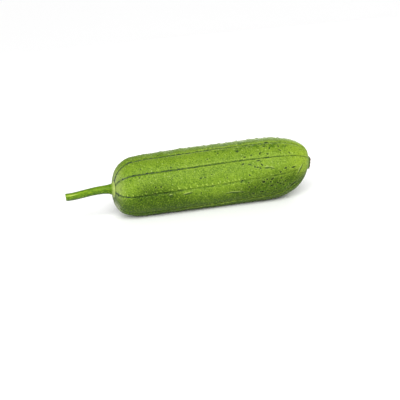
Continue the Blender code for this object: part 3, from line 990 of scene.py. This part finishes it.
def make_stub():
    """The stub: its profile turned round its axis and laid on the fruit's leaning tip.

    Five waves draw the rim out and up, more so towards the top, and noise wears it ragged.
    """
    radius, height = stub_profile()
    turn = np.linspace(0, 2 * np.pi, STUB_COLUMNS, endpoint=False)[None, :]
    share = np.linspace(0, 1, STUB_RINGS)[:, None] + 0 * turn
    worn = np.clip(height / STUB_HEIGHT, 0, 1) ** 2 * ramp(radius, *BESIDE_STYLE)
    from_lowest = (turn + np.pi) % (2 * np.pi) - np.pi
    wave = np.maximum(0, np.cos(STUB_LOBES * turn + LOBE_UNEVENNESS * np.sin(turn))) * worn
    wave = wave * (1 + LOWEST_LOBE_MORE * hill(from_lowest, LOWEST_LOBE_SPREAD))
    turns = turn / (2 * np.pi) + 0 * share
    ragged = skin_noise(share * RAGS_ALONG, turns, 1.0, RAGS_ROUND, RAGGED_SEED)
    fringe = skin_noise(share * FRINGES_ALONG, turns, 1.0, FRINGES_ROUND, FRINGE_SEED)
    out = radius + STUB_LOBE_OUT * wave + RIM_RAGGEDNESS * ragged * worn
    high = height + STUB_LOBE_UP * wave + FRINGE_HEIGHT * fringe * worn + STUB_ROUGHNESS * ragged
    upright = np.stack([out * np.cos(turn), out * np.sin(turn), high], axis=-1)
    lean = math.pi / 2 + math.atan(TIP_SLANT)
    leaning = np.array(Matrix.Rotation(lean, 3, "Y")).T
    seat = np.array([STUB_SEAT_X - FRUIT_LENGTH / 2, bow_at(STUB_SEAT_X), AXIS_HEIGHT + TIP_RISE])
    pole_heights = (-STUB_ROOT, SCAR_FLOOR + STYLE_HEIGHT)
    poles = [np.array([0, 0, pole_height]) @ leaning + seat for pole_height in pole_heights]
    attributes = {"height_mm": high / MM, "profile": share}
    return closed_grid("gourd_blossom_stub", upright @ leaning + seat, poles, attributes)


class Finish:
    """A Principled material, with short calls that add nodes and return their output sockets."""

    def __init__(self, name):
        self.material = bpy.data.materials.new(name)
        self.material.use_nodes = True
        self.tree = self.material.node_tree
        self.shader = self.tree.nodes["Principled BSDF"]
        self.place = self.tree.nodes.new("ShaderNodeTexCoord").outputs["Object"]

    def plug(self, socket, value):
        """Links a socket, or sets its value where the value is a number or a colour."""
        if isinstance(value, bpy.types.NodeSocket):
            self.tree.links.new(value, socket)
        elif isinstance(value, tuple) and socket.type == "RGBA":
            socket.default_value = (*value, 1.0)
        else:
            socket.default_value = value

    def attribute(self, name):
        """A number that the mesh carries under this name."""
        node = self.tree.nodes.new("ShaderNodeAttribute")
        node.attribute_name = name
        return node.outputs["Fac"]

    def unrolled(self):
        """Place on the skin laid out flat, in metres along the fruit and round it."""
        node = self.tree.nodes.new("ShaderNodeUVMap")
        node.uv_map = "unrolled"
        return node.outputs["UV"]

    def stretched(self, place, scale=(1, 1, 1), lean=0.0):
        """A place whose patterns are turned by `lean` degrees about Z after they are squeezed by `scale`."""
        turned = self.tree.nodes.new("ShaderNodeMapping")
        turned.inputs["Rotation"].default_value = (0, 0, math.radians(-lean))
        self.plug(turned.inputs["Vector"], place)
        squeezed = self.tree.nodes.new("ShaderNodeMapping")
        squeezed.inputs["Scale"].default_value = scale
        self.plug(squeezed.inputs["Vector"], turned.outputs["Vector"])
        return squeezed.outputs["Vector"]

    def noise(self, size, detail=2.0, roughness=0.5, place=None):
        """Noise of 0 to 1 whose features are about `size` metres wide."""
        node = self.tree.nodes.new("ShaderNodeTexNoise")
        self.plug(node.inputs["Vector"], place or self.place)
        node.inputs["Scale"].default_value = 1 / size
        node.inputs["Detail"].default_value = detail
        node.inputs["Roughness"].default_value = roughness
        return node.outputs["Fac"]

    def spots(self, size, low, high, place=None):
        """Spots of 0 to 1 around points about `size` metres apart, from `high` cells away down to `low`.

        Each spot has its own random strength.
        """
        node = self.tree.nodes.new("ShaderNodeTexVoronoi")
        self.plug(node.inputs["Vector"], place or self.place)
        node.inputs["Scale"].default_value = 1 / size
        shape = self.between(node.outputs["Distance"], low, high, 1.0, 0.0)
        red = self.tree.nodes.new("ShaderNodeSeparateColor")
        self.plug(red.inputs["Color"], node.outputs["Color"])
        return self.times(shape, red.outputs["Red"])

    def maths(self, operation, first, second=0.0):
        """Two values put together by an operation of the maths node."""
        node = self.tree.nodes.new("ShaderNodeMath")
        node.operation = operation
        self.plug(node.inputs[0], first)
        self.plug(node.inputs[1], second)
        return node.outputs[0]

    def times(self, first, second):
        return self.maths("MULTIPLY", first, second)

    def plus(self, first, second):
        return self.maths("ADD", first, second)

    def between(self, value, low, high, start=0.0, end=1.0):
        """Maps low..high smoothly to start..end, and holds the ends beyond."""
        node = self.tree.nodes.new("ShaderNodeMapRange")
        node.interpolation_type = "SMOOTHSTEP"
        self.plug(node.inputs["Value"], value)
        node.inputs["From Min"].default_value = low
        node.inputs["From Max"].default_value = high
        node.inputs["To Min"].default_value = start
        node.inputs["To Max"].default_value = end
        return node.outputs["Result"]

    def mix(self, share, first, second):
        """The first colour, with this share of the second in its place."""
        node = self.tree.nodes.new("ShaderNodeMix")
        node.data_type = "RGBA"
        colour_inputs = [socket for socket in node.inputs if socket.type == "RGBA"]
        self.plug(node.inputs["Factor"], share)
        self.plug(colour_inputs[0], first)
        self.plug(colour_inputs[1], second)
        return next(socket for socket in node.outputs if socket.type == "RGBA")

    def hollow_line(self, distance, width):
        """exp(-(distance/width)^2)"""
        scaled = self.times(distance, 1 / width)
        return self.maths("POWER", 1 / math.e, self.times(scaled, scaled))

    def bump(self, height, distance, strength=1.0, below=None):
        """A normal bent by relief of `distance` metres, over the normal `below` where one is given."""
        node = self.tree.nodes.new("ShaderNodeBump")
        node.inputs["Strength"].default_value = strength
        node.inputs["Distance"].default_value = distance
        self.plug(node.inputs["Height"], height)
        if below is not None:
            self.plug(node.inputs["Normal"], below)
        return node.outputs["Normal"]

    def finish(self, colour, roughness, normal=None):
        """Plugs in the colour, the roughness and any normal, and returns the material."""
        self.plug(self.shader.inputs["Base Color"], colour)
        self.plug(self.shader.inputs["Roughness"], roughness)
        if normal is not None:
            self.plug(self.shader.inputs["Normal"], normal)
        return self.material


# Colours of the skin
SKIN_GREEN = (0.115, 0.205, 0.010)
SKIN_PALE = (0.150, 0.250, 0.015)
SKIN_YELLOW = (0.235, 0.352, 0.022)
TIP_YELLOW = (0.285, 0.405, 0.030)
SHOULDER_PALE = (0.365, 0.450, 0.125)
SKIN_DEEP = (0.040, 0.095, 0.003)
SMUDGE_GREEN = (0.048, 0.115, 0.001)
# The painted shade's deep greens, over the underside
PAINTED_SHADE_GREEN = (0.032, 0.076, 0.001)
PAINTED_SHADE_DARK = (0.008, 0.020, 0.001)
FLECK = (0.365, 0.480, 0.105)
LIP_PALE = (0.280, 0.390, 0.055)
WART_TOP = (0.330, 0.460, 0.060)
FURROW_SLATE = (0.018, 0.030, 0.024)
FURROW_GREEN = (0.019, 0.044, 0.012)
PIT_DARK = (0.012, 0.029, 0.009)
PIT_NIGHT = (0.003, 0.008, 0.002)
# Painted highlight on the creases' ridges
RIDGE_HIGHLIGHT_PALE = (0.380, 0.480, 0.120)
COLLAR_PALE = (0.330, 0.410, 0.110)
PALE_GREY = (0.330, 0.350, 0.240)
# Painted highlight along the crest
RIM_HIGHLIGHT_PALE = (0.470, 0.560, 0.240)


def skin_colour(skin, unrolled, grain, ticks):
    """Ground colours of the skin: mottles, grain, pale ticks and dark specks, yellower at the blossom end,
    paler by the stalk end, and deep green with painted shade towards the underside.
    """
    mottle = skin.noise(6.5 * MM, detail=1.0)
    drift = skin.noise(35 * MM, detail=2.0)
    colour = skin.mix(skin.between(mottle, 0.3, 0.7), SKIN_GREEN, SKIN_PALE)
    colour = skin.mix(skin.between(drift, 0.4, 0.7, 0.0, 0.25), colour, SKIN_YELLOW)
    colour = skin.mix(skin.between(skin.attribute("along"), 0.5, 0.85, 0.0, 0.18), colour, SKIN_YELLOW)
    colour = skin.mix(skin.between(skin.attribute("along"), 0.8, 0.97, 0.0, 0.85), colour, TIP_YELLOW)
    # Paler towards the stalk end: partly a pale dusty tone, partly painted light on the shoulder
    colour = skin.mix(skin.between(skin.attribute("collar_mm"), 4.0, 28.0, 0.72, 0.0), colour, SHOULDER_PALE)
    # Painted shade towards the underside, with the slightly deeper band along the crown
    painted_shade = skin.attribute("painted_shade")
    colour = skin.mix(skin.times(skin.attribute("deep"), 0.88), colour, PAINTED_SHADE_GREEN)
    smudge = skin.times(skin.attribute("smudge"), skin.between(skin.noise(2.4 * MM, detail=2.0), 0.3, 0.55))
    colour = skin.mix(skin.between(smudge, 0.08, 0.6, 0.0, 0.95), colour, SMUDGE_GREEN)
    # Dark specks are darker in the painted shade
    deep = skin.mix(painted_shade, SKIN_DEEP, PAINTED_SHADE_DARK)
    colour = skin.mix(skin.between(grain, 0.50, 0.34, 0.0, 0.75), colour, deep)
    colour = skin.mix(skin.between(grain, 0.52, 0.68, 0.0, 0.6), colour, SKIN_YELLOW)
    colour = skin.mix(skin.times(ticks, skin.between(painted_shade, 0.0, 0.8, 0.82, 0.35)), colour, FLECK)
    fine = skin.noise(0.9 * MM, detail=1.0)
    colour = skin.mix(skin.between(fine, 0.43, 0.28, 0.0, 0.75), colour, deep)
    above = skin.between(painted_shade, 0.0, 0.8, 1.0, 0.25)
    colour = skin.mix(skin.times(skin.between(fine, 0.58, 0.72, 0.0, 0.35), above), colour, FLECK)
    specks = skin.spots(3.1 * MM, 0.10, 0.26, skin.stretched(unrolled, lean=20))
    specks = skin.between(specks, 0.3, 0.7)
    return skin.mix(skin.times(specks, 0.8), colour, deep)


def furrow_colour(skin, colour):
    """Adds the dark, ragged and broken lines of the furrows, slate at the stalk end and green further on."""
    ragged = skin.plus(
        skin.times(skin.plus(skin.noise(1.1 * MM, detail=2.0, roughness=0.7), -0.5), 2.4),
        skin.times(skin.plus(skin.noise(2.8 * MM, detail=0.0), -0.5), 1.8),
    )
    furrow = skin.plus(skin.attribute("furrow_mm"), ragged)
    along = skin.attribute("along")
    ink = skin.attribute("ink")
    lip = skin.hollow_line(skin.plus(furrow, -2.0), 0.6)
    lip = skin.times(lip, skin.between(along, 0.25, 0.48, 0.0, 0.5))
    lip = skin.times(lip, skin.between(along, 0.82, 0.92, 1.0, 0.0))
    colour = skin.mix(skin.times(lip, ink), colour, LIP_PALE)
    halo = skin.times(skin.hollow_line(furrow, 1.6), skin.between(along, 0.2, 0.7, 0.4, 0.15))
    colour = skin.mix(halo, colour, SKIN_DEEP)
    wart = skin.between(skin.attribute("wart"), 0.2, 0.7, 0.0, 0.95)
    # Warts are less pale in the painted shade, and the furrows' lines are darker there
    wart = skin.times(wart, skin.between(skin.attribute("painted_shade"), 0.2, 0.9, 1.0, 0.4))
    colour = skin.mix(wart, colour, WART_TOP)
    line = skin.times(skin.hollow_line(furrow, 0.66), ink)
    paint = skin.mix(skin.between(along, 0.12, 0.6), FURROW_SLATE, FURROW_GREEN)
    paint = skin.mix(skin.between(skin.attribute("painted_shade"), 0.1, 0.6), paint, PAINTED_SHADE_DARK)
    colour = skin.mix(line, colour, paint)
    dust = skin.times(skin.attribute("dust"), skin.between(skin.noise(2.2 * MM), 0.45, 0.6))
    return skin.mix(skin.times(dust, 0.6), colour, PALE_GREY)


def blemish_colour(skin, colour):
    """Adds the crest's painted highlight, bumps, pits, creases with painted highlight and shade, the collar
    and its dark ring, partly painted shade, and a pale grey arc.
    """
    # Painted highlight: a mottled pale band along the crest, where the top edge catches the light
    crest = skin.between(skin.attribute("crest"), 0.2, 1.0, 0.0, 0.85)
    highlight_mottle = skin.between(skin.noise(2.1 * MM, detail=3.0, roughness=0.7), 0.38, 0.6, 0.1, 1.0)
    crest = skin.times(crest, highlight_mottle)
    colour = skin.mix(crest, colour, RIM_HIGHLIGHT_PALE)
    colour = skin.mix(skin.between(skin.attribute("bump"), 0.25, 0.75, 0.0, 0.75), colour, SMUDGE_GREEN)
    pit = skin.attribute("pit")
    pit = skin.times(pit, skin.between(skin.noise(1.1 * MM, detail=1.0), 0.3, 0.62, 0.45, 1.25))
    rim = skin.times(skin.between(pit, 0.02, 0.10), skin.between(pit, 0.12, 0.28, 1.0, 0.0))
    colour = skin.mix(skin.times(rim, 0.16), colour, FLECK)
    # Pits are darker in the painted shade
    pit_paint = skin.mix(skin.between(skin.attribute("painted_shade"), 0.1, 0.6), PIT_DARK, PIT_NIGHT)
    colour = skin.mix(skin.between(pit, 0.14, 0.52, 0.0, 0.92), colour, pit_paint)
    # Painted highlight on each crease's ridge, and painted shade in its line below
    colour = skin.mix(skin.between(skin.attribute("ridge"), 0.2, 0.8, 0.0, 0.55), colour, RIDGE_HIGHLIGHT_PALE)
    colour = skin.mix(skin.between(skin.attribute("crease"), 0.12, 0.6, 0.0, 0.75), colour, FURROW_GREEN)
    run = skin.attribute("collar_mm")
    # The dark ring by the collar, partly painted shade, darkest on the viewer's side
    ring = skin.hollow_line(skin.plus(run, -1.6), 0.8)
    ring_darkness = skin.between(skin.attribute("ring_side"), 0.1, 0.9, 0.25, 0.95)
    ring = skin.times(ring, skin.times(ring_darkness, skin.between(skin.noise(2.8 * MM), 0.3, 0.6, 0.6, 1.0)))
    colour = skin.mix(ring, colour, FURROW_SLATE)
    colour = skin.mix(skin.between(run, 0.2, 1.2, 0.95, 0.0), colour, COLLAR_PALE)
    patches = skin.times(skin.noise(2.2 * MM, detail=3.0, roughness=0.7), 1.6)
    grey_arc = skin.plus(skin.attribute("grey_arc"), patches)
    return skin.mix(skin.between(grey_arc, 1.3, 2.05, 0.0, 0.85), colour, PALE_GREY)


def skin_finish():
    """Mottled yellow-green skin: pale ticks, dark broken lines in the furrows, pale warts, dark pits."""
    skin = Finish("gourd_skin")
    unrolled = skin.unrolled()
    grain = skin.noise(1.3 * MM, detail=2.0, roughness=0.7)
    ticks = skin.spots(2.3 * MM, 0.12, 0.28, skin.stretched(unrolled, scale=(0.42, 1.0, 1.0), lean=WART_LEAN))
    colour = skin_colour(skin, unrolled, grain, ticks)
    colour = furrow_colour(skin, colour)
    colour = blemish_colour(skin, colour)
    normal = skin.bump(ticks, 0.3 * MM, 0.8, skin.bump(grain, 0.5 * MM, 0.8))
    skin.shader.inputs["Specular IOR Level"].default_value = 0.1
    roughness = skin.between(skin.noise(4 * MM), 0.3, 0.7, 0.42, 0.56)
    return skin.finish(colour, roughness, normal)


# Colours of the stalk
STALK_GREEN = (0.120, 0.225, 0.003)
STALK_DEEP = (0.070, 0.150, 0.001)
STALK_UNDER = (0.030, 0.080, 0.001)
STALK_PALE = (0.170, 0.290, 0.006)
STALK_FLECK = (0.205, 0.320, 0.010)
# Painted highlight of the streak by the cut end
STREAK_HIGHLIGHT = (0.370, 0.460, 0.085)
CUT_PALE = (0.300, 0.400, 0.090)
CUT_BROWN = (0.220, 0.200, 0.080)


def stalk_finish():
    """Flecked green stem, with painted shade below, darker in its grooves and by the fruit, pale at its
    collar and its cut end, and with one streak of painted highlight.
    """
    stalk = Finish("gourd_stalk")
    stalk.shader.inputs["Specular IOR Level"].default_value = 0.15
    run = stalk.attribute("run_mm")
    ridge = stalk.attribute("ridge_top")
    streaks = stalk.noise(1.6 * MM, detail=2.0, place=stalk.stretched(stalk.place, scale=(0.12, 1, 1)))
    colour = stalk.mix(stalk.between(streaks, 0.35, 0.65), STALK_DEEP, STALK_GREEN)
    colour = stalk.mix(stalk.between(ridge, -0.6, 0.9, 0.0, 0.25), colour, STALK_PALE)
    colour = stalk.mix(stalk.between(run, 4, 24, 0.45, 0.0), colour, STALK_DEEP)
    # Painted shade on the stalk's underside
    colour = stalk.mix(stalk.times(stalk.attribute("under"), 0.85), colour, STALK_UNDER)
    fine = stalk.noise(1.1 * MM, detail=2.0, place=stalk.stretched(stalk.place, scale=(0.4, 1, 1)))
    colour = stalk.mix(stalk.between(fine, 0.52, 0.68, 0.0, 0.6), colour, STALK_FLECK)
    colour = stalk.mix(stalk.between(fine, 0.47, 0.33, 0.0, 0.55), colour, STALK_UNDER)
    # Painted highlight: a pale streak on the upper front, by the cut end
    streak = stalk.between(stalk.attribute("streak"), 0.1, 0.8, 0.0, 0.7)
    colour = stalk.mix(streak, colour, STREAK_HIGHLIGHT)
    collar = stalk.between(stalk.noise(3 * MM), 0.3, 0.7, 0.7, 1.0)
    collar = stalk.times(stalk.between(run, 0.5, 3.6, 0.9, 0.0), collar)
    colour = stalk.mix(collar, colour, COLLAR_PALE)
    cut = stalk.attribute("cut")
    face = stalk.mix(stalk.between(stalk.noise(0.8 * MM), 0.4, 0.65), CUT_PALE, CUT_BROWN)
    colour = stalk.mix(cut, colour, face)
    normal = stalk.bump(streaks, 0.25 * MM, 0.6)
    return stalk.finish(colour, 0.42, normal)


# Colours of the stub
STUB_GREEN = (0.105, 0.205, 0.014)
STUB_DARK = (0.020, 0.038, 0.008)
STUB_RED = (0.170, 0.055, 0.022)
STUB_BROWN = (0.060, 0.055, 0.020)
STUB_TAN = (0.260, 0.200, 0.090)


def stub_finish():
    """Dry dark flower scar with a worn red-brown rim and a paler knob, on a green neck."""
    stub = Finish("dry_flower")
    profile = stub.attribute("profile")
    patches = stub.noise(1.3 * MM, detail=3.0, roughness=0.6)
    rim = stub.times(stub.between(profile, 0.50, 0.56), stub.between(profile, 0.64, 0.72, 1.0, 0.0))
    knob = stub.times(stub.between(profile, 0.87, 0.94), stub.between(patches, 0.3, 0.6, 0.2, 0.8))
    scar = stub.mix(stub.between(stub.noise(2.1 * MM, detail=3.0), 0.35, 0.65), STUB_DARK, STUB_BROWN)
    worn = stub.times(rim, stub.between(patches, 0.40, 0.62))
    dark = stub.mix(worn, scar, STUB_RED)
    dark = stub.mix(stub.times(rim, stub.between(stub.noise(0.9 * MM), 0.58, 0.72, 0.0, 0.7)), dark, STUB_TAN)
    dark = stub.mix(knob, dark, STUB_TAN)
    height = stub.attribute("height_mm")
    neck = stub.between(height, 1.35, 1.75, 1.0, 0.0)
    outside = stub.between(profile, 0.5, 0.56, 1.0, 0.0)
    colour = stub.mix(stub.times(neck, outside), dark, STUB_GREEN)
    normal = stub.bump(patches, 0.4 * MM, 0.8)
    return stub.finish(colour, 0.8, normal)


# Camera, floor and light
VIEW_ELEVATION = math.radians(16.0)
VIEW_ROLL = math.radians(7.6)  # the gourd lies level, and the view is rolled so that it rises to the right
VIEW_LENS = 90.0  # mm, on the usual 36 mm sensor
VIEW_DISTANCE = 1.163
VIEW_CENTRE = Vector((-0.0275, 0.0, 0.0352))
AIM_RIGHT = 15.0 * MM  # of the centre, so that the gourd stands where it does in the picture
AIM_DOWN = 25.1 * MM
FLOOR_REACH = 12.0
FLOOR_DROP = 0.1 * MM
PAPER_WHITE = (0.93, 0.93, 0.93)
PAPER_ROUGHNESS = 0.9
WORLD_COLOUR = (1.0, 1.0, 1.0, 1.0)
WORLD_LIGHT = 0.34
DIFFUSER_FROM = (0.1, -0.92, 0.77)
DIFFUSER_WIDTH = 50  # degrees across
DIFFUSER_POWER = 3.7
FILL_PLACE = (-1.0, -0.3, 0.3)
FILL_SIZE = 0.5
FILL_POWER = 3.6
RIM_PLACE = (0.3, 1.2, 0.4)
RIM_SIZE = 0.7
RIM_POWER = 8.0


def make_camera():
    """The camera: raised, rolled, and aimed so that the gourd stands where it does in the picture."""
    back = Vector((0, -math.cos(VIEW_ELEVATION), math.sin(VIEW_ELEVATION)))
    level_right = Vector((1, 0, 0))
    level_up = back.cross(level_right)
    right = level_right * math.cos(VIEW_ROLL) - level_up * math.sin(VIEW_ROLL)
    up = level_right * math.sin(VIEW_ROLL) + level_up * math.cos(VIEW_ROLL)
    location = VIEW_CENTRE + back * VIEW_DISTANCE
    back = (location - (VIEW_CENTRE + right * AIM_RIGHT - up * AIM_DOWN)).normalized()
    right = (right - back * right.dot(back)).normalized()
    up = back.cross(right)
    lens = bpy.data.cameras.new("view")
    lens.lens = VIEW_LENS
    camera = bpy.data.objects.new("view", lens)
    bpy.context.scene.collection.objects.link(camera)
    camera.matrix_world = Matrix.Translation(location) @ Matrix((right, up, back)).transposed().to_4x4()
    bpy.context.scene.camera = camera


def make_floor():
    """A wide sheet of pale paper, just under the gourd."""
    mesh = bpy.data.meshes.new("floor")
    signs = ((-1, -1), (1, -1), (1, 1), (-1, 1))
    corners = [(x * FLOOR_REACH, y * FLOOR_REACH, -FLOOR_DROP) for x, y in signs]
    mesh.from_pydata(corners, [], [(0, 1, 2, 3)])
    floor = bpy.data.objects.new("floor", mesh)
    bpy.context.scene.collection.objects.link(floor)
    paper = Finish("floor_paper")
    mesh.materials.append(paper.finish(PAPER_WHITE, PAPER_ROUGHNESS))


def make_sky_panel():
    """A very wide soft light from above and in front, as even over the floor as a large diffuser."""
    light = bpy.data.lights.new("diffuser", "SUN")
    light.angle = math.radians(DIFFUSER_WIDTH)
    light.energy = DIFFUSER_POWER
    lamp = bpy.data.objects.new("diffuser", light)
    bpy.context.scene.collection.objects.link(lamp)
    lamp.rotation_euler = Vector(DIFFUSER_FROM).to_track_quat("Z", "Y").to_euler()


def make_soft_panel(name, place, size, power):
    """A soft square panel that faces the gourd."""
    light = bpy.data.lights.new(name, "AREA")
    light.size = size
    light.energy = power
    lamp = bpy.data.objects.new(name, light)
    bpy.context.scene.collection.objects.link(lamp)
    lamp.location = place
    lamp.rotation_euler = (Vector(place) - VIEW_CENTRE).to_track_quat("Z", "Y").to_euler()


def make_studio():
    """Floor, white world, one very wide light and two soft panels."""
    make_floor()
    world = bpy.data.worlds.new("studio")
    world.use_nodes = True
    background = world.node_tree.nodes["Background"]
    background.inputs["Color"].default_value = WORLD_COLOUR
    background.inputs["Strength"].default_value = WORLD_LIGHT
    bpy.context.scene.world = world
    make_sky_panel()
    make_soft_panel("rim", RIM_PLACE, RIM_SIZE, RIM_POWER)
    make_soft_panel("fill", FILL_PLACE, FILL_SIZE, FILL_POWER)
    bpy.context.scene.view_settings.view_transform = "Standard"
    bpy.context.scene.view_settings.look = "None"


def dress(piece, material, node):
    """Gives a piece its material, and lets it ride with the gourd in place of its CAD node."""
    piece.data.materials.append(material)
    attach(piece, "root")
    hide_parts(node)


make_camera()
dress(make_skin(), skin_finish(), "fruit")
dress(make_stalk(), stalk_finish(), "stalk")
dress(make_stub(), stub_finish(), "blossom_stub")
make_studio()
